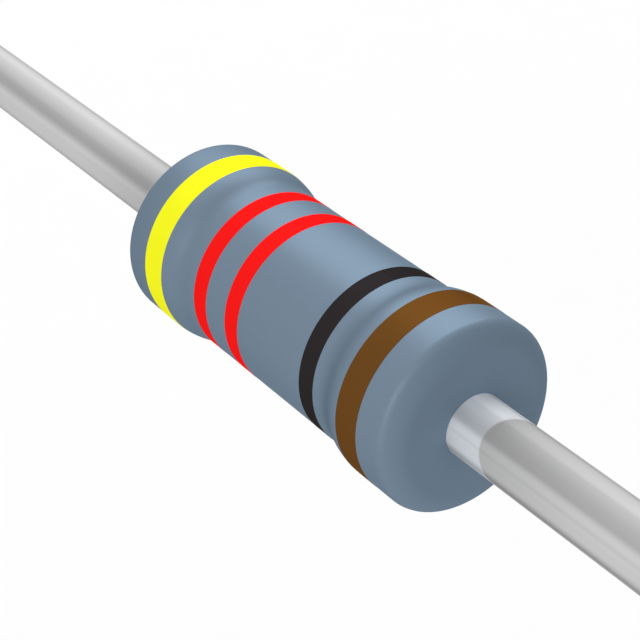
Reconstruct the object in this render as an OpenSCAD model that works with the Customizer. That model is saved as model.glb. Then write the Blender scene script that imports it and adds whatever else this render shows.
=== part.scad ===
// Small axial film resistor with a dog-bone lacquer body and two wire leads. The body lies along X, with its
// centre at the origin and the brown band at the +X end. Outlines are lists of [x, radius], turned about X.

/* [Body] */
// Length of the lacquered body over its flat end faces
body_len = 3.6; // [3.3:0.05:4.4]
// Diameter over the two end bulges
bulge_d = 1.55; // [1.5:0.01:1.8]
// Diameter of the straight waist between the bulges
waist_d = 1.42; // [1.36:0.01:1.46]
// Distance by which the lacquer starts to climb before it reaches the mouth of a cap
climb_ahead = 0.09; // [0:0.01:0.12]
// Radius of the soft hollow where the waist meets a bulge
hollow_r = 0.35; // [0.2:0.01:0.4]
// Radius of the round that climbs from the hollow to the full bulge
climb_r = 0.6; // [0.4:0.01:0.8]
// Radius of the tight round where a bulge turns into its shoulder
brow_r = 0.03; // [0.02:0.01:0.1]
// Angle that the tight round turns through, in degrees
brow_angle = 33; // [15:1:60]
// Radius of the large round from there to the flat end face
shoulder_r = 0.234; // [0.12:0.002:0.3]
// Thickness of the lacquer over the closed end of a cap
end_coat = 0.12; // [0.1:0.01:0.2]

/* [Ceramic core and film] */
// Diameter of the ceramic rod
core_d = 1.1; // [0.95:0.01:1.14]
// Radius of the rod's ground edges
core_edge_r = 0.06; // [0.05:0.01:0.1]
// Thickness of the resistive film, drawn thicker than the real one so that it can be held as a solid
film_t = 0.02; // [0.01:0.005:0.03]
// Width of the helical groove that is cut through the film
groove_w = 0.05; // [0.03:0.005:0.08]
// Pitch of the groove
groove_pitch = 0.27; // [0.2:0.01:0.4]
// Whole film left between the mouth of a cap and the nearest turn of the groove
groove_margin = 0.15; // [0.1:0.01:0.3]

/* [End caps] */
// Wall of the pressed caps
cap_wall = 0.1; // [0.06:0.01:0.12]
// Length of a cap over its closed end
cap_len = 0.68; // [0.55:0.01:0.8]
// Outer radius where a cap's wall turns into its closed end
cap_corner_r = 0.15; // [0.13:0.01:0.2]
// Inner radius in the same corner
cap_inner_r = 0.04; // [0.02:0.01:0.05]
// Radius on the outer edge of a cap's mouth
cap_lip_r = 0.04; // [0.02:0.01:0.05]

/* [Leads] */
// Diameter of the wire
lead_d = 0.5; // [0.4:0.01:0.6]
// Length of wire that stands out of each end of the body
lead_len = 29; // [10:0.5:38]
// Radius of the fillet that the weld leaves between the wire and the cap
weld_r = 0.08; // [0.04:0.01:0.09]
// Chamfer on the cut end of the wire
tip_chamfer = 0.03; // [0.01:0.01:0.1]

/* [Colour bands] */
// Thickness of the band paint
paint_t = 0.002; // [0.002:0.001:0.02]
// Width of the two bands on the bulges
bulge_band_w = 0.245; // [0.15:0.005:0.3]
// Distance from a body end face to the middle of the band on that bulge
bulge_band_inset = 0.48; // [0.42:0.01:0.6]
// Width of the three bands on the waist
waist_band_w = 0.175; // [0.1:0.005:0.22]
// Middle of the first red band, left of the body's centre
red_first_offset = 0.713; // [0.6:0.005:0.8]
// Middle of the second red band, left of the body's centre
red_second_offset = 0.267; // [0.1:0.005:0.35]
// Middle of the black band, right of the body's centre
black_offset = 0.738; // [0.5:0.005:0.8]

/* [Hidden] */

$fn = 96;
arc_steps = 8;  // chords in each turned round
film_sides = 36;  // flats around the film

// Radii and stations along X, worked out from the sizes above
bulge_r = bulge_d/2;
waist_r = waist_d/2;
core_r = core_d/2;
film_r = core_r + film_t;
cap_r = film_r + cap_wall;
lead_r = lead_d/2;
body_end = body_len/2;
cap_end = body_end - end_coat;
core_end = cap_end - cap_wall;
cap_mouth = cap_end - cap_len;
film_end = core_end - core_edge_r;
lead_tip = body_end + lead_len;

// Where the hollow starts, how steeply the two climbing rounds meet, and where the bulge is full
hollow_x = cap_mouth - climb_ahead;
climb_angle = acos(1 - (bulge_r - waist_r)/(hollow_r + climb_r));
full_x = hollow_x + (hollow_r + climb_r)*sin(climb_angle);
// Centre of the tight round, and of the large round that carries on from it to the end face
brow_x = body_end - shoulder_r + (shoulder_r - brow_r)*sin(brow_angle);
shoulder_y = bulge_r - brow_r - (shoulder_r - brow_r)*cos(brow_angle);

// The groove takes as many whole turns as fit between the caps
groove_turns = floor(2*(cap_mouth - groove_margin)/groove_pitch);
groove_start = -groove_turns*groove_pitch/2;

// Points of an arc about [x, y] between two angles
function arc(x, y, r, from, to, steps = arc_steps) =
    [for (i = [0:steps]) let (a = from + (to - from)*i/steps) [x + r*cos(a), y + r*sin(a)]];

// A half outline, listed from the middle outwards, and its mirror image before it
function both_ways(half) = concat([for (i = [len(half) - 1:-1:0]) [-half[i][0], half[i][1]]], half);

function backwards(points) = [for (i = [len(points) - 1:-1:0]) points[i]];

// The same points without the first, for a round that carries on from the last one
function carry_on(points) = [for (i = [1:len(points) - 1]) points[i]];

// Triangles of a flat face, all from its first point
function fan(face) = [for (i = [1:len(face) - 2]) [face[0], face[i], face[i + 1]]];

// Outer skin of the lacquer from the waist to the edge of the end face
skin_half = concat(
    arc(hollow_x, waist_r + hollow_r, hollow_r, -90, -90 + climb_angle),
    carry_on(arc(full_x, bulge_r - climb_r, climb_r, 90 + climb_angle, 90)),
    arc(brow_x, bulge_r - brow_r, brow_r, 90, 90 - brow_angle, 4),
    carry_on(arc(body_end - shoulder_r, shoulder_y, shoulder_r, 90 - brow_angle, 0)));

// Outside of a cap, from the inner edge of its mouth over the wall to the weld
cap_outside = concat(
    [[cap_mouth, film_r]],
    arc(cap_mouth + cap_lip_r, cap_r - cap_lip_r, cap_lip_r, 180, 90, 4),
    arc(cap_end - cap_corner_r, cap_r - cap_corner_r, cap_corner_r, 90, 0));

// Weld fillet, from the cap to the straight wire
weld_fillet = arc(cap_end + weld_r, lead_r + weld_r, weld_r, 180, 270);

// Radius of the skin at a station along X, on the same chords that the lacquer is turned from
function skin_at(x) = lookup(abs(x), skin_half);

module turned(outline) {
    rotate([0, 90, 0]) rotate_extrude() polygon([for (p = outline) [p[1], p[0]]]);
}

module ceramic_core() {
    color("white") turned(concat([[-core_end, 0]],
        both_ways(arc(film_end, core_r - core_edge_r, core_edge_r, 90, 0)),
        [[core_end, 0]]));
}

// The film is a tube that is cut right through by one helical groove with blunt ends. Each angle round the tube
// has a column of edges: the tube's end, the two lips of each turn of the groove, and the other end.
module resistive_film() {
    edges = 2*groove_turns + 2;
    inner_r = core_r/cos(180/film_sides);  // the flats rest on the rod

    function lip_x(column, edge) = groove_start
        + groove_pitch*(floor((edge - 1)/2) + column/film_sides) + (edge % 2 == 1 ? -1 : 1)*groove_w/2;
    function edge_x(column, edge) = edge == 0 ? -film_end : edge == edges - 1 ? film_end : lip_x(column, edge);
    function point(column, x, r) = let (a = 360*column/film_sides) [x, r*cos(a), r*sin(a)];

    columns = [for (c = [0:film_sides - 1], e = [0:edges - 1], r = [film_r, inner_r]) point(c, edge_x(c, e), r)];
    groove_stop = [for (e = [edges - 3, edges - 2], r = [film_r, inner_r]) point(0, edge_x(film_sides, e), r)];
    stop = len(columns);

    // Number of a point. One whole turn on, each lip is the next lip of the first column, and the last two lips
    // are the points where the groove stops.
    function at(column, edge, inside) = column < film_sides ? 2*(column*edges + edge) + inside
        : edge == 0 || edge == edges - 1 ? 2*edge + inside
        : edge < edges - 3 ? 2*(edge + 2) + inside
        : stop + 2*(edge - edges + 3) + inside;

    // Walls of the tube, outside and inside. The first strip also passes the blunt end where the groove starts,
    // and the last strip the one where it stops.
    walls = [for (inside = [0, 1], c = [0:film_sides - 1], turn = [0:groove_turns])
        let (low = 2*turn, high = low + 1,
             stop_lips = turn == groove_turns && c == 0 ? [stop + inside, stop + 2 + inside] : [],
             start_lips = turn == 0 && c == film_sides - 1 ? [at(0, 2, inside), at(0, 1, inside)] : [],
             here = concat([at(c, low, inside)], stop_lips, [at(c, high, inside)]),
             next = concat([at(c + 1, high, inside)], start_lips, [at(c + 1, low, inside)]))
        each [for (flat = fan(turn == 0 ? concat(here, next) : concat(next, here)))
            inside == 1 ? backwards(flat) : flat]];
    // Faces through the film along every edge. Even edges look left and odd ones right.
    rims = [for (e = [0:edges - 1], c = [0:film_sides - 1])
        let (rim = [at(c, e, 0), at(c + 1, e, 0), at(c + 1, e, 1), at(c, e, 1)])
        each fan(e % 2 == 0 ? rim : backwards(rim))];
    blunt_ends = concat(fan([at(0, 1, 0), at(0, 2, 0), at(0, 2, 1), at(0, 1, 1)]),
                        fan([stop, stop + 1, stop + 3, stop + 2]));

    color("dimgray") polyhedron(concat(columns, groove_stop), concat(walls, rims, blunt_ends), convexity = 8);
}

module end_cap() {
    color("silver") turned(concat(
        cap_outside,
        [[cap_end, 0], [core_end, 0]],
        arc(core_end - cap_inner_r, film_r - cap_inner_r, cap_inner_r, 0, 90, 4)));
}

module end_cap_left() { mirror([1, 0, 0]) end_cap(); }

module end_cap_right() { end_cap(); }

module lead() {
    color("lightgray") turned(concat(
        [[cap_end, 0]],
        weld_fillet,
        [[lead_tip - tip_chamfer, lead_r], [lead_tip, lead_r - tip_chamfer], [lead_tip, 0]]));
}

module lead_left() { mirror([1, 0, 0]) lead(); }

module lead_right() { lead(); }

// The lacquer fills the room between its skin and the film, the caps and the wires
module coating() {
    color("lightslategray") turned(concat(
        both_ways(skin_half),
        backwards(both_ways(concat(cap_outside, weld_fillet, [[body_end, lead_r]])))));
}

// A ring of paint that follows the skin
module band(middle, width) {
    from = middle - width/2;
    to = middle + width/2;
    stations = concat([from], [for (p = both_ways(skin_half)) if (p[0] > from && p[0] < to) p[0]], [to]);
    turned(concat([for (x = stations) [x, skin_at(x) + paint_t]],
                  [for (x = backwards(stations)) [x, skin_at(x)]]));
}

module band_yellow() { color("yellow") band(bulge_band_inset - body_end, bulge_band_w); }

module band_red_first() { color("red") band(-red_first_offset, waist_band_w); }

module band_red_second() { color("red") band(-red_second_offset, waist_band_w); }

module band_black() { color("black") band(black_offset, waist_band_w); }

module band_brown() { color("saddlebrown") band(body_end - bulge_band_inset, bulge_band_w); }

ceramic_core();
resistive_film();
end_cap_left();
end_cap_right();
lead_left();
lead_right();
coating();
band_yellow();
band_red_first();
band_red_second();
band_black();
band_brown();
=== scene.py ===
"""Looks of a small axial resistor: lacquered body, painted colour bands, tinned wires and the parts inside.

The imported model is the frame. Every solid that shows is replaced by a finely turned piece of the same sizes,
apart from a softer brow and thinner paint. The parts under the lacquer keep their meshes and get a finish.
Sizes are in millimetres until a mesh is made.
"""

import logging
import math
from dataclasses import dataclass
from enum import Enum
from functools import cache
from typing import Mapping, Sequence, Union

import bpy
from mathutils import Matrix, Vector


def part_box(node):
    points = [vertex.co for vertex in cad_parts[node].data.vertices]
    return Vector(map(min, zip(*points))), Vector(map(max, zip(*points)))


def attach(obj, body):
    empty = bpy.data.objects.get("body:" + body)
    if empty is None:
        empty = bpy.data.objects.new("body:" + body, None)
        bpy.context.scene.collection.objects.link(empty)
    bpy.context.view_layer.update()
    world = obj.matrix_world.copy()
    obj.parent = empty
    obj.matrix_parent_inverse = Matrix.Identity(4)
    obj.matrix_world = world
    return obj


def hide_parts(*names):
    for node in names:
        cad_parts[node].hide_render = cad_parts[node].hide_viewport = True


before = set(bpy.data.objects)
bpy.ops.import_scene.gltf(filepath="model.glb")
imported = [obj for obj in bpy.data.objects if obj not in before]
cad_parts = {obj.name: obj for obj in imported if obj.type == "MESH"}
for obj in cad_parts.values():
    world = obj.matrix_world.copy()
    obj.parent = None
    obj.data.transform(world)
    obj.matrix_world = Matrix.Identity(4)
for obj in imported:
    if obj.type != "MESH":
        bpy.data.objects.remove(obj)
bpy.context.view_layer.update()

log = logging.getLogger("axial_resistor")

MM = 0.001  # metres in a millimetre
BODY = "root"  # the one rigid body of the part
TURN_STEPS = 256  # facets round the body
WIRE_STEPS = 128  # facets round a wire
SHARP_ANGLE = math.radians(35)  # edges sharper than this keep a crisp shade
ON_AXIS = 1e-9  # a radius below this is a point on the axis
EDGE_ANGLES = range(0, 90, 10)  # degrees at which the rounded edge of a band has a ring

Point = tuple[float, float]
Outline = list[Point]
Colour = tuple[float, float, float]
Input = Union["Signal", float, Sequence[float]]


class Side(Enum):
    """End of the body that a piece belongs to, as the sign of its place along X."""

    LEFT = -1
    RIGHT = 1


# Turned outlines


def arc(x: float, y: float, radius: float, start: float, stop: float, steps: int = 24) -> Outline:
    """Points of an arc in the outline plane.

    Args:
        x: Centre of the arc along the axis.
        y: Distance of the centre from the axis.
        radius: Radius of the arc.
        start: First angle in degrees, measured from +X.
        stop: Last angle in degrees.
        steps: Number of chords.

    Returns:
        The points, both ends included.
    """
    angles = (math.radians(start + (stop - start) * i / steps) for i in range(steps + 1))
    return [(x + radius * math.cos(a), y + radius * math.sin(a)) for a in angles]


def straight(start: Point, stop: Point, step: float) -> Outline:
    """Points between two others, without either of them.

    Args:
        start: Point before the first.
        stop: Point after the last.
        step: Longest distance from one point to the next.

    Returns:
        Evenly spaced points.
    """
    count = math.ceil(math.dist(start, stop) / step)
    return [tuple(a + (b - a) * i / count for a, b in zip(start, stop)) for i in range(1, count)]


def both_ways(half: Outline) -> Outline:
    """A half outline that starts at the middle, with its mirror image before it."""
    return [(-x, y) for x, y in reversed(half)] + half


def on_side(outline: Outline, side: Side) -> Outline:
    """An outline of the right end as it is, or mirrored and turned round for the left end."""
    return outline if side is Side.RIGHT else [(-x, y) for x, y in reversed(outline)]


def without_repeats(outline: Outline) -> Outline:
    """Drops points that repeat the one before.

    Args:
        outline: Points in order.

    Returns:
        The outline without the repeats.
    """
    kept = outline[:1]
    for point in outline[1:]:
        if math.dist(point, kept[-1]) > ON_AXIS:
            kept.append(point)
    return kept


def turned(name: str, outline: Outline, steps: int, closed: bool) -> bpy.types.Object:
    """Turns an outline about X into a mesh object.

    Args:
        name: Name of the new piece.
        outline: Points (x, radius) in millimetres, running towards +X on the outside.
        steps: Number of facets round the axis.
        closed: True if the last point joins the first, as on a ring.

    Returns:
        The object, in metres and linked to the scene.
    """
    points: list[tuple[float, float, float]] = []
    rings: list[list[int]] = []
    for x, radius in outline:
        count = 1 if radius < ON_AXIS else steps
        first = len(points)
        for i in range(count):
            turn = 2 * math.pi * i / steps
            points.append((x * MM, radius * MM * math.cos(turn), radius * MM * math.sin(turn)))
        rings.append([first + (i if count > 1 else 0) for i in range(steps)])
    faces: list[list[int]] = []
    for here, there in zip(rings, rings[1:] + (rings[:1] if closed else [])):
        for i in range(steps):
            j = (i + 1) % steps
            corners = [here[i], here[j], there[j], there[i]]
            faces.append(list(dict.fromkeys(corners)))
    mesh = bpy.data.meshes.new(name)
    mesh.from_pydata(points, [], faces)
    mesh.validate()
    mesh.shade_smooth()
    mesh.set_sharp_from_angle(angle=SHARP_ANGLE)
    piece = bpy.data.objects.new(name, mesh)
    bpy.context.scene.collection.objects.link(piece)
    return piece


# Shader values


class Signal:
    """One output of a shader node. An expression with it adds Math nodes, so that 1 - mask works.

    Attributes:
        bench: The node tree that it belongs to.
        socket: The socket, or None behind a node that ends a tree.
    """

    def __init__(self, bench: "Bench", socket: bpy.types.NodeSocket | None) -> None:
        """Keeps the bench and the socket."""
        self.bench = bench
        self.socket = socket

    def _math(self, operation: str, first: Input, second: Input) -> "Signal":
        """The result of a Math node."""
        return self.bench.node("ShaderNodeMath", {"operation": operation}, {0: first, 1: second})

    def __add__(self, other: Input) -> "Signal":
        """self + other."""
        return self._math("ADD", self, other)

    def __radd__(self, other: Input) -> "Signal":
        """other + self."""
        return self._math("ADD", other, self)

    def __sub__(self, other: Input) -> "Signal":
        """self - other."""
        return self._math("SUBTRACT", self, other)

    def __rsub__(self, other: Input) -> "Signal":
        """other - self."""
        return self._math("SUBTRACT", other, self)

    def __mul__(self, other: Input) -> "Signal":
        """self * other."""
        return self._math("MULTIPLY", self, other)

    def __rmul__(self, other: Input) -> "Signal":
        """other * self."""
        return self._math("MULTIPLY", other, self)

    def __abs__(self) -> "Signal":
        """Its value without the sign."""
        return self.bench.node("ShaderNodeMath", {"operation": "ABSOLUTE"}, {0: self})

    def largest(self, other: Input) -> "Signal":
        """The larger of the two values."""
        return self._math("MAXIMUM", self, other)


class Bench:
    """Node tree of a material or a world, with the one way in which its nodes are added.

    Attributes:
        tree: Blender's own tree.
    """

    def __init__(self, tree: bpy.types.NodeTree) -> None:
        """Takes over a tree and empties it."""
        self.tree = tree
        tree.nodes.clear()

    def node(
        self,
        kind: str,
        settings: Mapping[str, object] | None = None,
        inputs: Mapping[int | str, Input] | None = None,
        out: int | str = 0,
    ) -> Signal:
        """Adds a node.

        Args:
            kind: Blender's name of the node's type.
            settings: Properties of the node, which are set first.
            inputs: Values or signals, by the name or number of their socket.
            out: Name or number of the output that is wanted.

        Returns:
            That output as a signal, without a socket where the node ends the tree.
        """
        made = self.tree.nodes.new(kind)
        for name, value in (settings or {}).items():
            setattr(made, name, value)
        for key, value in (inputs or {}).items():
            socket = made.inputs[key]
            if isinstance(value, Signal):
                self.tree.links.new(value.socket, socket)
            elif socket.type == "RGBA":
                socket.default_value = (*value, 1.0)
            else:
                socket.default_value = value
        return Signal(self, made.outputs[out] if made.outputs else None)

    def place(self) -> Signal:
        """Position on the piece at rest, in metres."""
        return self.node("ShaderNodeTexCoord", out="Object")

    def scaled(self, vector: Input, factors: Sequence[float]) -> Signal:
        """A vector with each of its parts multiplied by its own factor."""
        return self.node("ShaderNodeVectorMath", {"operation": "MULTIPLY"}, {0: vector, 1: factors})

    def along(self, vector: Input, direction: Sequence[float]) -> Signal:
        """How far a vector reaches in a direction."""
        return self.node(
            "ShaderNodeVectorMath", {"operation": "DOT_PRODUCT"}, {0: vector, 1: direction}, "Value"
        )

    def cloud(self, vector: Input, grain: float, detail: float = 2.0) -> Signal:
        """Smooth noise from 0 to 1.

        Args:
            vector: Position in metres.
            grain: Size of one cloud in millimetres.
            detail: Number of finer layers.

        Returns:
            The noise.
        """
        inputs = {"Vector": vector, "Scale": 1 / (grain * MM), "Detail": detail}
        return self.node("ShaderNodeTexNoise", {}, inputs)

    def step(self, value: Input, low: float, high: float) -> Signal:
        """0 below low, 1 above high and a smooth change between them."""
        inputs = {"Value": value, "From Min": low, "From Max": high}
        return self.node("ShaderNodeMapRange", {"interpolation_type": "SMOOTHSTEP"}, inputs)

    def tint(self, first: Input, second: Input, factor: Input) -> Signal:
        """A colour between two others."""
        settings = {"data_type": "RGBA", "clamp_factor": True}
        return self.node("ShaderNodeMix", settings, {0: factor, 6: first, 7: second}, 2)

    def toned(self, colour: Input, tone: Input) -> Signal:
        """A colour with all its parts multiplied by one value."""
        return self.node("ShaderNodeVectorMath", {"operation": "SCALE"}, {0: colour, "Scale": tone})

    def relief(self, height: Input, depth: float) -> Signal:
        """A normal that follows a height from 0 to 1, of that depth in millimetres."""
        return self.node("ShaderNodeBump", {}, {"Height": height, "Distance": depth * MM})

    def seen(self) -> Signal:
        """Tells what the camera sees, directly, in gloss or through glass, from plain light.

        Returns:
            1 for what is seen and 0 for plain light.
        """
        rays = [
            self.node("ShaderNodeLightPath", out=f"Is {kind} Ray")
            for kind in ("Camera", "Glossy", "Transmission")
        ]
        return rays[0].largest(rays[1]).largest(rays[2])

    def surface(self, inputs: Mapping[int | str, Input]) -> None:
        """Ends a material with a Principled surface that has these inputs."""
        shader = self.node("ShaderNodeBsdfPrincipled", {}, inputs)
        self.node("ShaderNodeOutputMaterial", {}, {"Surface": shader})


def shade(colour: Colour, factor: float) -> Colour:
    """A colour made lighter or darker by a factor."""
    return tuple(min(part * factor, 1.0) for part in colour)


# Finishes


@dataclass(frozen=True)
class Finish:
    """A material with a name. Each kind of finish says in dress() how it is made.

    Attributes:
        name: Name of the material.
    """

    name: str

    @cache
    def material(self) -> bpy.types.Material:
        """Makes the Blender material, once for each finish.

        Returns:
            The material, which all pieces of that finish share.
        """
        made = bpy.data.materials.new(self.name)
        made.use_nodes = True
        self.dress(Bench(made.node_tree))
        return made

    def dress(self, bench: Bench) -> None:
        """Adds the nodes.

        Args:
            bench: Empty node tree of the material.
        """
        raise NotImplementedError


@dataclass(frozen=True)
class ShadeRing:
    """A ring round the body painted darker, as painted shade.

    Attributes:
        x: Its middle along the axis, in millimetres.
        half_width: Distance over which it fades out, in millimetres.
        change: Factor on the shade in its middle.
    """

    x: float
    half_width: float
    change: float


@dataclass(frozen=True)
class Lacquer(Finish):
    """Satin dipped lacquer, with slow shade changes, fine pigment grain, a faint orange peel and painted shade
    and light.

    Attributes:
        shade_rings: Rings of painted shade, in which it is darker.
        colour: Its shade.
        cloud_size: Size of the slow changes of shade, in millimetres.
        cloud_change: How far they go up and down, as a share of the shade.
        grain_size: Size of the pigment grain, in millimetres.
        grain_change: How far it goes up and down, as a share of the shade.
        grain_detail: Number of finer layers in the grain.
        roughness: Roughness of the body.
        roughness_change: Difference between its smoothest and its roughest places.
        end_dulling: How much rougher the end faces are.
        end_painted_light: Factor on their shade, painted light that makes the end faces lighter.
        end_from: Distance from the middle at which the dull end starts, in millimetres.
        end_to: Distance at which it is full.
        peel_size: Size of the orange peel, in millimetres.
        peel_depth: Its depth in millimetres.
        metallic: Share of the surface that shines in the lacquer's own colour.
        rim_tint: Strength of that sheen towards the rim.
        gloss: Level of the colourless gloss.
    """

    shade_rings: tuple[ShadeRing, ...] = ()
    colour: Colour = (0.176, 0.24, 0.31)
    cloud_size: float = 0.6
    cloud_change: float = 0.025
    grain_size: float = 0.03
    grain_change: float = 0.02
    grain_detail: float = 1.0
    roughness: float = 0.45
    roughness_change: float = 0.08
    end_dulling: float = 0.4
    end_painted_light: float = 1.1
    end_from: float = 1.69
    end_to: float = 1.74
    peel_size: float = 0.06
    peel_depth: float = 0.0003
    metallic: float = 0.25
    rim_tint: float = 0.15
    gloss: float = 0.0

    def dress(self, bench: Bench) -> None:
        """Adds the nodes.

        Args:
            bench: Empty node tree of the material.
        """
        place = bench.place()
        cloud = bench.cloud(place, self.cloud_size)
        grain = bench.cloud(place, self.grain_size, self.grain_detail)
        peel = bench.cloud(place, self.peel_size)
        change = self.cloud_change + self.grain_change
        share = self.cloud_change / change
        colour = bench.tint(
            shade(self.colour, 1 - change),
            shade(self.colour, 1 + change),
            cloud * share + grain * (1 - share),
        )
        out = bench.along(place, (1 / MM, 0.0, 0.0))
        # Painted shade: darker rings over the far bulge and over the creases at the caps' mouths.
        for shade_ring in self.shade_rings:
            depth = 1 - bench.step(abs(out - shade_ring.x), 0.0, shade_ring.half_width)
            colour = bench.toned(colour, 1 + depth * (shade_ring.change - 1))
        # The end faces are rougher, and they are painted lighter as painted light.
        end = bench.step(abs(out), self.end_from, self.end_to)
        bench.surface(
            {
                "Base Color": bench.toned(colour, 1 + end * (self.end_painted_light - 1)),
                "Metallic": self.metallic,
                "Roughness": self.roughness + end * self.end_dulling + (cloud - 0.5) * self.roughness_change,
                "Specular Tint": (self.rim_tint,) * 3,
                "Specular IOR Level": self.gloss,
                "Normal": bench.relief(peel, self.peel_depth),
            }
        )


@dataclass(frozen=True)
class BandPaint(Finish):
    """Opaque band paint, laid a little thicker and thinner round the body.

    Attributes:
        colour: Its shade.
        cloud_size: Size of the changes of shade, in millimetres.
        cloud_change: How far they go up and down, as a share of the shade.
        roughness: Middle of its roughness.
        roughness_change: Difference between its smoothest and its roughest places.
        brush_size: Width of the marks that run round the body, in millimetres.
        brush_depth: Their depth in millimetres.
        brush_stretch: Their width as a share of their length.
        metallic: Share of the surface that shines in the paint's own colour.
        rim_tint: Strength of that sheen towards the rim.
        gloss: Level of the colourless gloss.
    """

    colour: Colour = (0.5, 0.5, 0.5)
    cloud_size: float = 0.25
    cloud_change: float = 0.04
    roughness: float = 0.5
    roughness_change: float = 0.1
    brush_size: float = 0.05
    brush_depth: float = 0.0003
    brush_stretch: float = 0.2
    metallic: float = 0.2
    rim_tint: float = 0.15
    gloss: float = 0.0

    def dress(self, bench: Bench) -> None:
        """Adds the nodes.

        Args:
            bench: Empty node tree of the material.
        """
        place = bench.place()
        cloud = bench.cloud(place, self.cloud_size)
        rounds = bench.scaled(place, (1.0, self.brush_stretch, self.brush_stretch))
        brush = bench.cloud(rounds, self.brush_size)
        bench.surface(
            {
                "Base Color": bench.tint(
                    shade(self.colour, 1 - self.cloud_change),
                    shade(self.colour, 1 + self.cloud_change),
                    cloud,
                ),
                "Metallic": self.metallic,
                "Roughness": self.roughness + (brush - 0.5) * self.roughness_change,
                "Specular Tint": (self.rim_tint,) * 3,
                "Specular IOR Level": self.gloss,
                "Normal": bench.relief(brush, self.brush_depth),
            }
        )


@dataclass(frozen=True)
class Streak:
    """A lengthwise stripe painted on a wire, as painted light and painted reflection.

    Attributes:
        angle: Place round the wire in degrees, measured from +Y towards +Z.
        half_width: Angle from its middle to its edge, in degrees.
        fade: Share of the half width over which it fades out.
        change: Factor on the wire's shade in the middle of the streak.
    """

    angle: float
    half_width: float
    fade: float
    change: float


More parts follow.
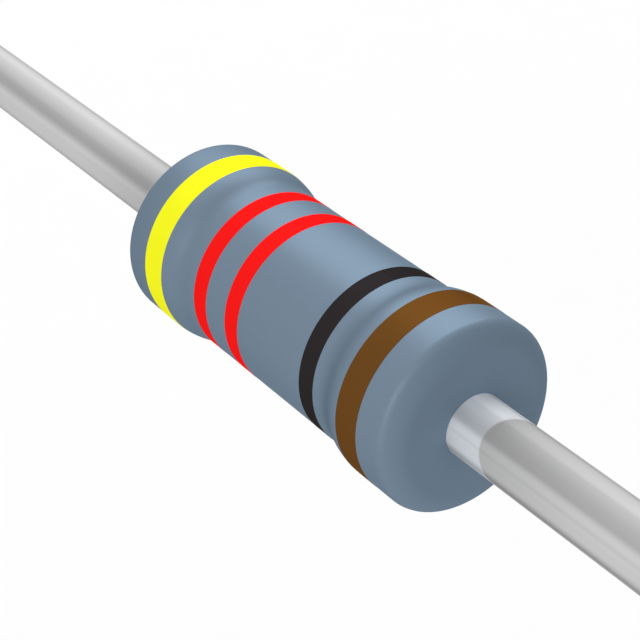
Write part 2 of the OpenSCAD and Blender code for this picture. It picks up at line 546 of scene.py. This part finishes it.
@dataclass(frozen=True)
class TinPlate(Finish):
    """Tin plating on drawn wire, with drawing lines, a painted reflection of the end face next to the body,
    painted shade and painted streaks.

    Attributes:
        colour: Its shade away from the body.
        streaks: Stripes over the whole wire, painted reflections of the studio.
        body_end: Where the wire comes out of the body, in millimetres from the middle.
        wire_r: Radius of the wire in millimetres.
        painted_shade_tone: Factor on the shade near the body, painted shade.
        painted_shade_from: Distance from the middle at which the shade starts to come back, in millimetres.
        painted_shade_to: Distance at which it is back.
        reflection_colour: Shade of the bright stretch, a painted reflection of the end face.
        reflection_streaks: Painted reflection stripes over the whole bright stretch.
        foot_light_streaks: Stripes of painted light on it that fade out from the body to its end.
        reflection_length: Its mean length in millimetres.
        reflection_slant: How much shorter and longer it gets round the wire, in millimetres.
        slant_angle: Place round the wire where it is shortest, in degrees from +Y towards +Z.
        edge_blur: Half the width of the soft edge at its end, in millimetres.
        line_size: Width of the fine drawing lines, in millimetres.
        line_change: How far they go up and down, as a share of the shade.
        line_stretch: Their width as a share of their length.
        scratch_depth: Their depth in millimetres.
        roughness: Middle of the roughness.
        roughness_change: Difference between its smoothest and its roughest places.
        metallic: Share of the surface that shines as metal.
        rim_tint: Strength of the metal's sheen towards the rim.
    """

    colour: Colour = (0.4, 0.4, 0.4)
    streaks: tuple[Streak, ...] = ()
    body_end: float = 1.8
    wire_r: float = 0.25
    painted_shade_tone: float = 0.83
    painted_shade_from: float = 2.1
    painted_shade_to: float = 3.6
    reflection_colour: Colour = (0.545, 0.565, 0.59)
    reflection_streaks: tuple[Streak, ...] = (
        Streak(63.0, 72.0, 0.55, 1.12),
        Streak(204.0, 8.0, 0.4, 1.2),
    )
    foot_light_streaks: tuple[Streak, ...] = (
        Streak(63.0, 72.0, 0.55, 1.5),
        Streak(150.0, 60.0, 1.0, 1.1),
    )
    reflection_length: float = 0.465
    reflection_slant: float = 0.14
    slant_angle: float = 133.2
    edge_blur: float = 0.012
    line_size: float = 0.02
    line_change: float = 0.04
    line_stretch: float = 0.01
    scratch_depth: float = 0.0002
    roughness: float = 0.68
    roughness_change: float = 0.1
    metallic: float = 0.5
    rim_tint: float = 0.55

    def dress(self, bench: Bench) -> None:
        """Adds the nodes.

        Args:
            bench: Empty node tree of the material.
        """
        place = bench.place()
        lines = bench.cloud(bench.scaled(place, (self.line_stretch, 1.0, 1.0)), self.line_size)
        tone = 1 + (lines - 0.5) * (2 * self.line_change)
        # Painted reflections: lengthwise streaks over the whole wire.
        for streak in self.streaks:
            tone = tone * self._streak(bench, place, streak)
        out = abs(bench.along(place, (1 / MM, 0.0, 0.0)))
        # Painted shade: the wire is darker near the body.
        back = bench.step(out, self.painted_shade_from, self.painted_shade_to)
        tone = tone * (self.painted_shade_tone + (1 - self.painted_shade_tone) * back)
        # Painted reflection: a bright stretch next to the body, where the end face shows in the wire.
        bright = self._painted_reflection(bench, place, out)
        for streak in self.reflection_streaks:
            tone = tone * (1 + bright * (self._streak(bench, place, streak) - 1))
        # Painted light: the foot of the bright stretch is lighter.
        foot = bright * (1 - bench.step(out, self.body_end, self.body_end + self.reflection_length))
        for streak in self.foot_light_streaks:
            tone = tone * (1 + foot * (self._streak(bench, place, streak) - 1))
        colour = bench.tint(self.colour, self.reflection_colour, bright)
        bench.surface(
            {
                "Base Color": bench.toned(colour, tone),
                "Metallic": self.metallic,
                "Roughness": self.roughness + (lines - 0.5) * self.roughness_change,
                "Specular Tint": (self.rim_tint,) * 3,
                "Normal": bench.relief(lines, self.scratch_depth),
            }
        )

    def _direction(self, angle: float) -> Vector:
        """Vector that gives the cosine of the angle from a line on the wire, for a place on it."""
        turn = math.radians(angle)
        return Vector((0.0, math.cos(turn), math.sin(turn))) / (self.wire_r * MM)

    def _streak(self, bench: Bench, place: Signal, streak: Streak) -> Signal:
        """Works out what a streak does to the shade.

        Args:
            bench: Node tree of the material.
            place: Position on the wire.
            streak: The streak.

        Returns:
            Factor on the shade, 1 away from the streak and its change in the middle.
        """
        edge = math.cos(math.radians(streak.half_width))
        full = math.cos(math.radians(streak.half_width * (1 - streak.fade)))
        mask = bench.step(bench.along(place, self._direction(streak.angle)), edge, full)
        return 1 + mask * (streak.change - 1)

    def _painted_reflection(self, bench: Bench, place: Signal, out: Signal) -> Signal:
        """Marks the bright stretch, a painted reflection of the end face, which ends in a slanting plane.

        Args:
            bench: Node tree of the material.
            place: Position on the wire.
            out: Distance from the middle of the body along the axis, in millimetres.

        Returns:
            1 on the stretch and 0 beyond it.
        """
        facing = bench.along(place, self._direction(self.slant_angle))
        past = out + facing * self.reflection_slant - (self.body_end + self.reflection_length)
        return 1 - bench.step(past, -self.edge_blur, self.edge_blur)


@dataclass(frozen=True)
class Alumina(Finish):
    """Ground white ceramic with a fine grain.

    Attributes:
        colour: Its lightest shade.
        grain_size: Size of the grain in millimetres.
        grain_change: How much darker and smoother it gets, as a share.
        grain_depth: Depth of the grain in millimetres.
        grain_detail: Number of finer layers in the grain.
        roughness: Middle of its roughness.
    """

    colour: Colour = (0.86, 0.85, 0.81)
    grain_size: float = 0.02
    grain_change: float = 0.05
    grain_depth: float = 0.001
    grain_detail: float = 4.0
    roughness: float = 0.75

    def dress(self, bench: Bench) -> None:
        """Adds the nodes.

        Args:
            bench: Empty node tree of the material.
        """
        grain = bench.cloud(bench.place(), self.grain_size, self.grain_detail)
        colour = bench.tint(shade(self.colour, 1 - self.grain_change), self.colour, grain)
        bench.surface(
            {
                "Base Color": colour,
                "Roughness": self.roughness + (grain - 0.5) * self.grain_change,
                "Normal": bench.relief(grain, self.grain_depth),
            }
        )


@dataclass(frozen=True)
class MetalSkin(Finish):
    """Metal with marks that run round the part, or are the same all ways, for the caps and the film.

    Attributes:
        colour: Its middle shade.
        mark_size: Width of a mark in millimetres.
        mark_stretch: Factors on the position, where a smaller one makes the marks longer that way.
        mark_change: How far the marks go up and down, as a share of the shade.
        mark_depth: Their depth in millimetres.
        mark_detail: Number of finer layers in them.
        roughness: Middle of the roughness.
        roughness_change: Difference between its smoothest and its roughest places.
    """

    colour: Colour = (0.6, 0.6, 0.6)
    mark_size: float = 0.03
    mark_stretch: Sequence[float] = (1.0, 0.1, 0.1)
    mark_change: float = 0.15
    mark_depth: float = 0.0005
    mark_detail: float = 3.0
    roughness: float = 0.35
    roughness_change: float = 0.15

    def dress(self, bench: Bench) -> None:
        """Adds the nodes.

        Args:
            bench: Empty node tree of the material.
        """
        stretched = bench.scaled(bench.place(), self.mark_stretch)
        marks = bench.cloud(stretched, self.mark_size, self.mark_detail)
        colour = bench.tint(
            shade(self.colour, 1 - self.mark_change), shade(self.colour, 1 + self.mark_change), marks
        )
        bench.surface(
            {
                "Base Color": colour,
                "Metallic": 1.0,
                "Roughness": self.roughness + (marks - 0.5) * self.roughness_change,
                "Normal": bench.relief(marks, self.mark_depth),
            }
        )


class PaintColour(Enum):
    """Paints of the colour code that this part carries, each with its base colour."""

    YELLOW = (0.94, 0.94, 0.02)
    RED = (0.94, 0.0125, 0.0115)
    BLACK = (0.028, 0.024, 0.025)
    BROWN = (0.145, 0.063, 0.0145)

    @property
    def slot(self) -> str:
        """Name of the record's material slot."""
        return f"paint_{self.name.lower()}"

    @property
    def finish(self) -> BandPaint:
        """The paint as a finish."""
        return BandPaint(f"flat_{self.slot}", colour=self.value)


# Paint of each band, in the order of the code
COLOUR_CODE = {
    "band_yellow": PaintColour.YELLOW,
    "band_red_first": PaintColour.RED,
    "band_red_second": PaintColour.RED,
    "band_black": PaintColour.BLACK,
    "band_brown": PaintColour.BROWN,
}

# Shade of the plating on each wire, with the left wire painted lighter as painted light
TIN_SHADE_WITH_PAINTED_LIGHT = {Side.LEFT: (0.428, 0.428, 0.428), Side.RIGHT: (0.4, 0.4, 0.4)}

# Painted reflection streaks on each wire: lengthwise stripes that paint the studio's reflections into the
# plating
PAINTED_REFLECTION_STREAKS = {
    Side.LEFT: (
        Streak(62.0, 8.0, 0.4, 0.83),
        Streak(86.0, 12.0, 1.0, 1.07),
        Streak(137.5, 19.0, 1.0, 0.86),
        Streak(173.0, 34.0, 0.55, 1.3),
        Streak(160.0, 6.0, 1.0, 1.04),
        Streak(262.0, 20.0, 0.6, 1.2),
        Streak(318.0, 14.0, 0.8, 0.88),
    ),
    Side.RIGHT: (
        Streak(60.0, 5.0, 0.6, 0.89),
        Streak(82.0, 20.0, 0.5, 1.15),
        Streak(168.0, 31.0, 0.5, 1.47),
        Streak(161.0, 4.5, 0.55, 0.94),
        Streak(204.0, 6.0, 0.4, 0.78),
        Streak(275.0, 24.0, 0.5, 1.3),
        Streak(330.0, 12.0, 0.7, 0.9),
    ),
}


# Pieces


def fitted(piece: bpy.types.Object, node: str, slot: str, finish: Finish) -> bpy.types.Object:
    """Dresses a piece, rides it on the part's body and lets it stand for a CAD node.

    Args:
        piece: The new mesh object.
        node: CAD node that it replaces.
        slot: Material slot of the record.
        finish: What it is made of.

    Returns:
        The same piece.
    """
    piece.data.materials.append(finish.material())
    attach(piece, BODY)
    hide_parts(node)
    log.info("%s stands for %s in %s, %d faces", piece.name, node, slot, len(piece.data.polygons))
    return piece


@dataclass(frozen=True)
class Skin:
    """Outer form of the lacquer: a straight waist, a climb over each cap and a round shoulder.

    Attributes:
        body_end: Distance of an end face from the middle.
        bulge_r: Radius over a cap.
        cap_mouth: Distance of a cap's open end from the middle.
        waist_r: Radius between the caps.
        climb_ahead: How far before the cap's mouth the climb starts.
        hollow_r: Radius of the hollow at the foot of the climb.
        climb_r: Radius of the round that follows it.
        brow_r: Radius of the tight round at the far edge of the bulge, drawn softer than on the CAD.
        brow_angle: Angle that it turns through, in degrees.
        shoulder_r: Radius of the round from there to the flat end face.
        brow_steps: Number of chords on the brow.
        shoulder_steps: Number of chords on the shoulder.
    """

    body_end: float
    bulge_r: float
    cap_mouth: float
    waist_r: float = 0.71
    climb_ahead: float = 0.09
    hollow_r: float = 0.35
    climb_r: float = 0.6
    brow_r: float = 0.09
    brow_angle: float = 42.0
    shoulder_r: float = 0.234
    brow_steps: int = 12
    shoulder_steps: int = 48

    @property
    def hollow_x(self) -> float:
        """Where the waist ends."""
        return self.cap_mouth - self.climb_ahead

    @property
    def climb_angle(self) -> float:
        """Steepest angle of the climb, in degrees."""
        rise = (self.bulge_r - self.waist_r) / (self.hollow_r + self.climb_r)
        return math.degrees(math.acos(1 - rise))

    @property
    def full_x(self) -> float:
        """Where the bulge reaches its full radius."""
        return self.hollow_x + (self.hollow_r + self.climb_r) * math.sin(math.radians(self.climb_angle))

    @property
    def brow_x(self) -> float:
        """Where the tight round starts."""
        reach = (self.shoulder_r - self.brow_r) * math.sin(math.radians(self.brow_angle))
        return self.body_end - self.shoulder_r + reach

    @property
    def face_r(self) -> float:
        """Radius of the flat end face."""
        drop = (self.shoulder_r - self.brow_r) * math.cos(math.radians(self.brow_angle))
        return self.bulge_r - self.brow_r - drop

    def half(self, step: float) -> Outline:
        """The form from the middle of the body to the edge of the end face.

        Args:
            step: Longest distance between points on its straight stretches.

        Returns:
            The points, in order.
        """
        climb = self.climb_angle
        brow_stop = 90 - self.brow_angle
        shoulder_x = self.body_end - self.shoulder_r
        return [
            (0.0, self.waist_r),
            *straight((0.0, self.waist_r), (self.hollow_x, self.waist_r), step),
            *arc(self.hollow_x, self.waist_r + self.hollow_r, self.hollow_r, -90, climb - 90),
            *arc(self.full_x, self.bulge_r - self.climb_r, self.climb_r, 90 + climb, 90)[1:],
            *straight((self.full_x, self.bulge_r), (self.brow_x, self.bulge_r), step),
            *arc(self.brow_x, self.bulge_r - self.brow_r, self.brow_r, 90, brow_stop, self.brow_steps),
            *arc(shoulder_x, self.face_r, self.shoulder_r, brow_stop, 0, self.shoulder_steps)[1:],
        ]

    def radius(self, x: float) -> float:
        """Radius of the skin at a place along the axis, up to the end of the bulge's full radius.

        Args:
            x: Place along the axis, on either side.

        Returns:
            The radius there.
        """
        x = abs(x)
        foot = self.hollow_x + self.hollow_r * math.sin(math.radians(self.climb_angle))
        if x <= self.hollow_x:
            return self.waist_r
        if x <= foot:
            return self.waist_r + self.hollow_r - math.sqrt(self.hollow_r**2 - (x - self.hollow_x) ** 2)
        if x <= self.full_x:
            return self.bulge_r - self.climb_r + math.sqrt(self.climb_r**2 - (self.full_x - x) ** 2)
        return self.bulge_r


@dataclass(frozen=True)
class CapForm:
    """Outside of a pressed cap and of the weld on it, which the lacquer fits round.

    Attributes:
        mouth: Distance of the open end from the middle of the body.
        end: Distance of the closed end from the middle.
        radius: Outer radius.
        film_r: Radius of the film under it.
        lip_r: Radius on the outer edge of the mouth.
        corner_r: Radius where the wall turns into the closed end.
        wire_r: Radius of the wire.
        weld_r: Radius of the weld's fillet.
        lip_steps: Number of chords on the lip.
        corner_steps: Number of chords on the corner.
        weld_steps: Number of chords on the fillet.
    """

    mouth: float
    end: float
    radius: float
    film_r: float
    lip_r: float = 0.04
    corner_r: float = 0.15
    wire_r: float = 0.25
    weld_r: float = 0.08
    lip_steps: int = 8
    corner_steps: int = 16
    weld_steps: int = 12

    def weld(self) -> Outline:
        """The weld's fillet, from the cap to the straight wire."""
        x, y = self.end + self.weld_r, self.wire_r + self.weld_r
        return arc(x, y, self.weld_r, 180, 270, self.weld_steps)

    def outside(self) -> Outline:
        """Follows the outside of the cap.

        Returns:
            Points from the film at the mouth, over the wall and the closed end, to the straight wire.
        """
        lip = (self.mouth + self.lip_r, self.radius - self.lip_r)
        corner = (self.end - self.corner_r, self.radius - self.corner_r)
        return [
            (self.mouth, self.film_r),
            *arc(*lip, self.lip_r, 180, 90, self.lip_steps),
            *arc(*corner, self.corner_r, 90, 0, self.corner_steps),
            *self.weld(),
        ]


@dataclass(frozen=True)
class LacquerBody:
    """The lacquer coating, a solid of revolution with a hollow for the parts inside.

    Attributes:
        skin: Its outer form.
        cap: The form that it fits round.
        step: Longest distance between rings on its straight stretches.
        finish: The lacquer.
    """

    skin: Skin
    cap: CapForm
    step: float = 0.06
    finish: Lacquer = Lacquer(
        "satin_lacquer",
        # Painted shade: rings over the far bulge, the far crease and the near crease.
        shade_rings=(ShadeRing(-1.68, 0.5, 0.9), ShadeRing(-1.0, 0.16, 0.96), ShadeRing(1.03, 0.18, 0.78)),
    )

    def build(self) -> bpy.types.Object:
        """Turns the coating and dresses it.

        Returns:
            The piece that stands for the CAD node.
        """
        rim = (self.skin.body_end, self.skin.face_r)
        hole = (self.skin.body_end, self.cap.wire_r)
        outside = [*self.skin.half(self.step), *straight(rim, hole, self.step), hole]
        inside = [(0.0, self.cap.film_r), *self.cap.outside()]
        outline = [*both_ways(outside), *reversed(both_ways(inside))]
        piece = turned("lacquer_coating", without_repeats(outline), TURN_STEPS, closed=True)
        return fitted(piece, "coating", "lacquer", self.finish)


@dataclass(frozen=True)
class Band:
    """A painted ring that follows the skin and is a little rounded at both edges.

    Attributes:
        node: CAD node of the band, which gives its place and width.
        paint: Its colour.
        skin: The form that it lies on.
        thickness: How far it stands proud.
        edge_r: Length over which its edges round down.
        step: Distance between its rings.
    """

    node: str
    paint: PaintColour
    skin: Skin
    thickness: float = 0.0015
    edge_r: float = 0.004
    step: float = 0.01

    def height(self, x: float, start: float, stop: float) -> float:
        """Thickness of the paint at a place between the band's two edges."""
        inward = min(x - start, stop - x, self.edge_r) / self.edge_r
        return self.thickness * math.sqrt(max(1 - (1 - inward) ** 2, 0.0))

    def build(self) -> bpy.types.Object:
        """Turns the band and dresses it.

        Returns:
            The piece that stands for the CAD node.
        """
        low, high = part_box(self.node)
        start, stop = low.x / MM, high.x / MM
        rounding = [self.edge_r * (1 - math.cos(math.radians(angle))) for angle in EDGE_ANGLES]
        flat = [x for x, _ in straight((start + self.edge_r, 0.0), (stop - self.edge_r, 0.0), self.step)]
        stations = [start + r for r in rounding] + [start + self.edge_r] + flat
        stations += [stop - self.edge_r] + [stop - r for r in reversed(rounding)]
        top = [(x, self.skin.radius(x) + self.height(x, start, stop)) for x in stations]
        underside = [(x, self.skin.radius(x)) for x in reversed(stations[1:-1])]
        piece = turned(f"{self.node}_paint", top + underside, TURN_STEPS, closed=True)
        return fitted(piece, self.node, self.paint.slot, self.paint.finish)


@dataclass(frozen=True)
class Lead:
    """A straight tinned wire with the weld at its foot and a cut end.

    Attributes:
        side: End of the body that it stands on.
        cap: Cap that it is welded to.
        finish: Its plating.
        tip_chamfer: Size of the chamfer on the cut end.
        step: Distance between rings on the straight wire.
    """

    side: Side
    cap: CapForm
    finish: TinPlate
    tip_chamfer: float = 0.03
    step: float = 0.5

    @property
    def node(self) -> str:
        """The CAD node of this wire."""
        return f"lead_{self.side.name.lower()}"

    def build(self) -> bpy.types.Object:
        """Turns the wire and dresses it.

        Returns:
            The piece that stands for the CAD node.
        """
        low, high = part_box(self.node)
        tip = max(abs(low.x), abs(high.x)) / MM
        wire_r = self.cap.wire_r
        shoulder = (tip - self.tip_chamfer, wire_r)
        outline = [
            (self.cap.end, 0.0),
            *self.cap.weld(),
            *straight((self.cap.end + self.cap.weld_r, wire_r), shoulder, self.step),
            shoulder,
            (tip, wire_r - self.tip_chamfer),
            (tip, 0.0),
        ]
        piece = turned(f"{self.node}_wire", on_side(outline, self.side), WIRE_STEPS, closed=False)
        return fitted(piece, self.node, "tinned_wire", self.finish)


@dataclass(frozen=True)
class InnerParts:
    """The parts under the lacquer, which keep the CAD meshes.

    Attributes:
        rod: Finish of the ceramic rod.
        film: Finish of the resistive film.
        cap: Finish of both end caps.
    """

    rod: Finish = Alumina("white_alumina")
    film: Finish = MetalSkin(
        "nickel_chromium_film", colour=(0.24, 0.22, 0.21), mark_size=0.08, mark_stretch=(1.0, 1.0, 1.0)
    )
    cap: Finish = MetalSkin("pressed_cap_steel", colour=(0.62, 0.62, 0.61))

    def dress(self) -> None:
        """Gives each of the CAD nodes its finish."""
        finishes = {
            "ceramic_core": self.rod,
            "resistive_film": self.film,
            "end_cap_left": self.cap,
            "end_cap_right": self.cap,
        }
        for node, finish in finishes.items():
            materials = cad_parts[node].data.materials
            materials.clear()
            materials.append(finish.material())
            log.info("%s is dressed in %s", node, finish.name)


@dataclass(frozen=True)
class Resistor:
    """The whole part, built from the sizes of the frame's own boxes.

    Attributes:
        wire_r: Radius of both wires, in millimetres.
    """

    wire_r: float = 0.25

    def build(self) -> list[bpy.types.Object]:
        """Builds and dresses every piece.

        Returns:
            The pieces that stand for CAD nodes: wires, coating and bands.
        """
        _, coating_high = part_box("coating")
        cap_low, cap_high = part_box("end_cap_right")
        _, film_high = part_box("resistive_film")
        cap = CapForm(
            mouth=cap_low.x / MM,
            end=cap_high.x / MM,
            radius=cap_high.z / MM,
            film_r=film_high.z / MM,
            wire_r=self.wire_r,
        )
        skin = Skin(body_end=coating_high.x / MM, bulge_r=coating_high.z / MM, cap_mouth=cap.mouth)
        InnerParts().dress()
        pieces = []
        # Each wire's plating carries painted light: a lighter left wire and painted reflection streaks.
        for side, streaks in PAINTED_REFLECTION_STREAKS.items():
            name = f"tinned_wire_{side.name.lower()}"
            plating = TinPlate(
                name, TIN_SHADE_WITH_PAINTED_LIGHT[side], wire_r=self.wire_r, body_end=skin.body_end, streaks=streaks
            )
            pieces.append(Lead(side, cap, plating).build())
        pieces.append(LacquerBody(skin, cap).build())
        pieces.extend(Band(node, paint, skin).build() for node, paint in COLOUR_CODE.items())
        return pieces


# Studio


def direction(azimuth: float, elevation: float) -> Vector:
    """Unit vector from the part towards a place in the studio.

    Args:
        azimuth: Degrees round Z, where 0 is -Y and 90 is +X.
        elevation: Degrees above the horizon.

    Returns:
        The vector.
    """
    a, e = math.radians(azimuth), math.radians(elevation)
    return Vector((math.sin(a) * math.cos(e), -math.cos(a) * math.cos(e), math.sin(e)))


@dataclass(frozen=True)
class ViewPoint:
    """The camera, placed so that the middle of the body falls on its place in the picture.

    Attributes:
        azimuth: Direction of the camera round Z, in degrees.
        elevation: Its height above the horizon, in degrees.
        depth: Distance of the body's middle along the line of sight, in millimetres.
        focal: Focal length in pixels.
        picture: Width and height of the picture in pixels.
        middle: Where the body's middle is in the picture, in pixels from its top left corner.
        sensor: Width of the sensor in millimetres.
        nearest: Nearest thing that it shows, in millimetres.
        farthest: Farthest thing that it shows, in metres.
    """

    azimuth: float = 54.82
    elevation: float = 31.55
    depth: float = 14.0156
    focal: float = 1806.5
    picture: float = 640.0
    middle: Point = (326.37, 316.14)
    sensor: float = 36.0
    nearest: float = 1.0
    farthest: float = 10.0

    def build(self) -> bpy.types.Object:
        """Makes the camera and hands it to the scene.

        Returns:
            The camera.
        """
        back = direction(self.azimuth, self.elevation)
        right = Vector((0, 0, 1)).cross(back).normalized()
        up = back.cross(right)
        aside = (self.middle[0] - self.picture / 2) / self.focal
        below = (self.middle[1] - self.picture / 2) / self.focal
        data = bpy.data.cameras.new("camera")
        data.sensor_width = self.sensor
        data.lens = self.sensor * self.focal / self.picture
        data.clip_start = self.nearest * MM
        data.clip_end = self.farthest
        camera = bpy.data.objects.new("camera", data)
        place = (back - aside * right + below * up) * self.depth * MM
        turn = Matrix((right, up, back)).transposed().to_4x4()
        camera.matrix_world = Matrix.Translation(place) @ turn
        bpy.context.scene.collection.objects.link(camera)
        bpy.context.scene.camera = camera
        return camera


@dataclass(frozen=True)
class Softbox:
    """A square area lamp that points at the part.

    Attributes:
        name: Name of the lamp.
        azimuth: Its direction round Z, in degrees.
        elevation: Its height above the horizon, in degrees.
        level: Light that it gives a surface facing it, where 1 shows a colour as it is written.
        size: Width in metres.
        distance: Distance from the part in metres.
    """

    name: str
    azimuth: float
    elevation: float
    level: float
    size: float
    distance: float = 3.0

    def build(self) -> bpy.types.Object:
        """Makes the lamp.

        Returns:
            The lamp.
        """
        towards = direction(self.azimuth, self.elevation)
        data = bpy.data.lights.new(self.name, "AREA")
        data.size = self.size
        data.energy = self.level * (math.pi * self.distance) ** 2
        lamp = bpy.data.objects.new(self.name, data)
        lamp.location = towards * self.distance
        lamp.rotation_mode = "QUATERNION"
        lamp.rotation_quaternion = towards.to_track_quat("Z", "Y")
        lamp.visible_camera = False
        bpy.context.scene.collection.objects.link(lamp)
        return lamp


@dataclass(frozen=True)
class Paper(Finish):
    """Plain pale paper, which the camera and gloss see a little lighter than it is lit.

    Attributes:
        colour: Its shade.
        lift: How much lighter it is seen.
        fibre_size: Size of its fibres in millimetres.
        fibre_change: How much darker they make it, as a share of the shade.
    """

    colour: Colour = (0.78, 0.78, 0.78)
    lift: float = 0.16
    fibre_size: float = 2.0
    fibre_change: float = 0.01

    def dress(self, bench: Bench) -> None:
        """Adds the nodes.

        Args:
            bench: Empty node tree of the material.
        """
        fibres = bench.cloud(bench.place(), self.fibre_size)
        colour = bench.tint(shade(self.colour, 1 - self.fibre_change), self.colour, fibres)
        paper = bench.node("ShaderNodeBsdfDiffuse", {}, {"Color": colour})
        glow = bench.node("ShaderNodeEmission", {}, {"Strength": bench.seen() * self.lift})
        both = bench.node("ShaderNodeAddShader", {}, {0: paper, 1: glow})
        bench.node("ShaderNodeOutputMaterial", {}, {"Surface": both})


@dataclass(frozen=True)
class Studio:
    """Pale floor, white surroundings, soft lamps and the camera.

    Attributes:
        drop: Distance of the floor under the part's axis, in millimetres.
        reach: Half the floor's width in metres.
        sky: Strength of the surroundings as light, where the camera sees them at strength 1.
        view: The camera.
        lamps: The softboxes.
        floor: The floor's finish.
    """

    drop: float = 20.0
    reach: float = 3.0
    sky: float = 0.48
    view: ViewPoint = ViewPoint()
    lamps: tuple[Softbox, ...] = (
        Softbox("window", azimuth=237, elevation=40, level=0.88, size=2.6),
        Softbox("front", azimuth=16, elevation=22, level=0.40, size=1.9),
    )
    floor: Paper = Paper("pale_paper")

    def build(self) -> None:
        """Sets up everything round the part."""
        self.view.build()
        for lamp in self.lamps:
            lamp.build()
            log.info("lamp %s at level %.2f", lamp.name, lamp.level)
        self._build_floor()
        self._build_surroundings()
        bpy.context.scene.view_settings.view_transform = "Standard"

    def _build_floor(self) -> None:
        """Lays the floor."""
        low, reach = -self.drop * MM, self.reach
        corners = [(-reach, -reach, low), (reach, -reach, low), (reach, reach, low), (-reach, reach, low)]
        mesh = bpy.data.meshes.new("floor")
        mesh.from_pydata(corners, [], [(0, 1, 2, 3)])
        mesh.materials.append(self.floor.material())
        floor = bpy.data.objects.new("floor", mesh)
        bpy.context.scene.collection.objects.link(floor)

    def _build_surroundings(self) -> None:
        """Makes the white world."""
        world = bpy.data.worlds.new("white_surroundings")
        bpy.context.scene.world = world
        world.use_nodes = True
        bench = Bench(world.node_tree)
        strength = self.sky + bench.seen() * (1 - self.sky)
        white = bench.node("ShaderNodeBackground", {}, {"Color": (1.0, 1.0, 1.0), "Strength": strength})
        bench.node("ShaderNodeOutputWorld", {}, {"Surface": white})


def main() -> None:
    """Builds the studio and the part, and reports each piece."""
    logging.basicConfig(level=logging.INFO, format="%(name)s: %(message)s")
    Studio().build()
    pieces = Resistor().build()
    log.info("%d pieces, %d faces in all", len(pieces), sum(len(p.data.polygons) for p in pieces))


if __name__ == "__main__":
    main()
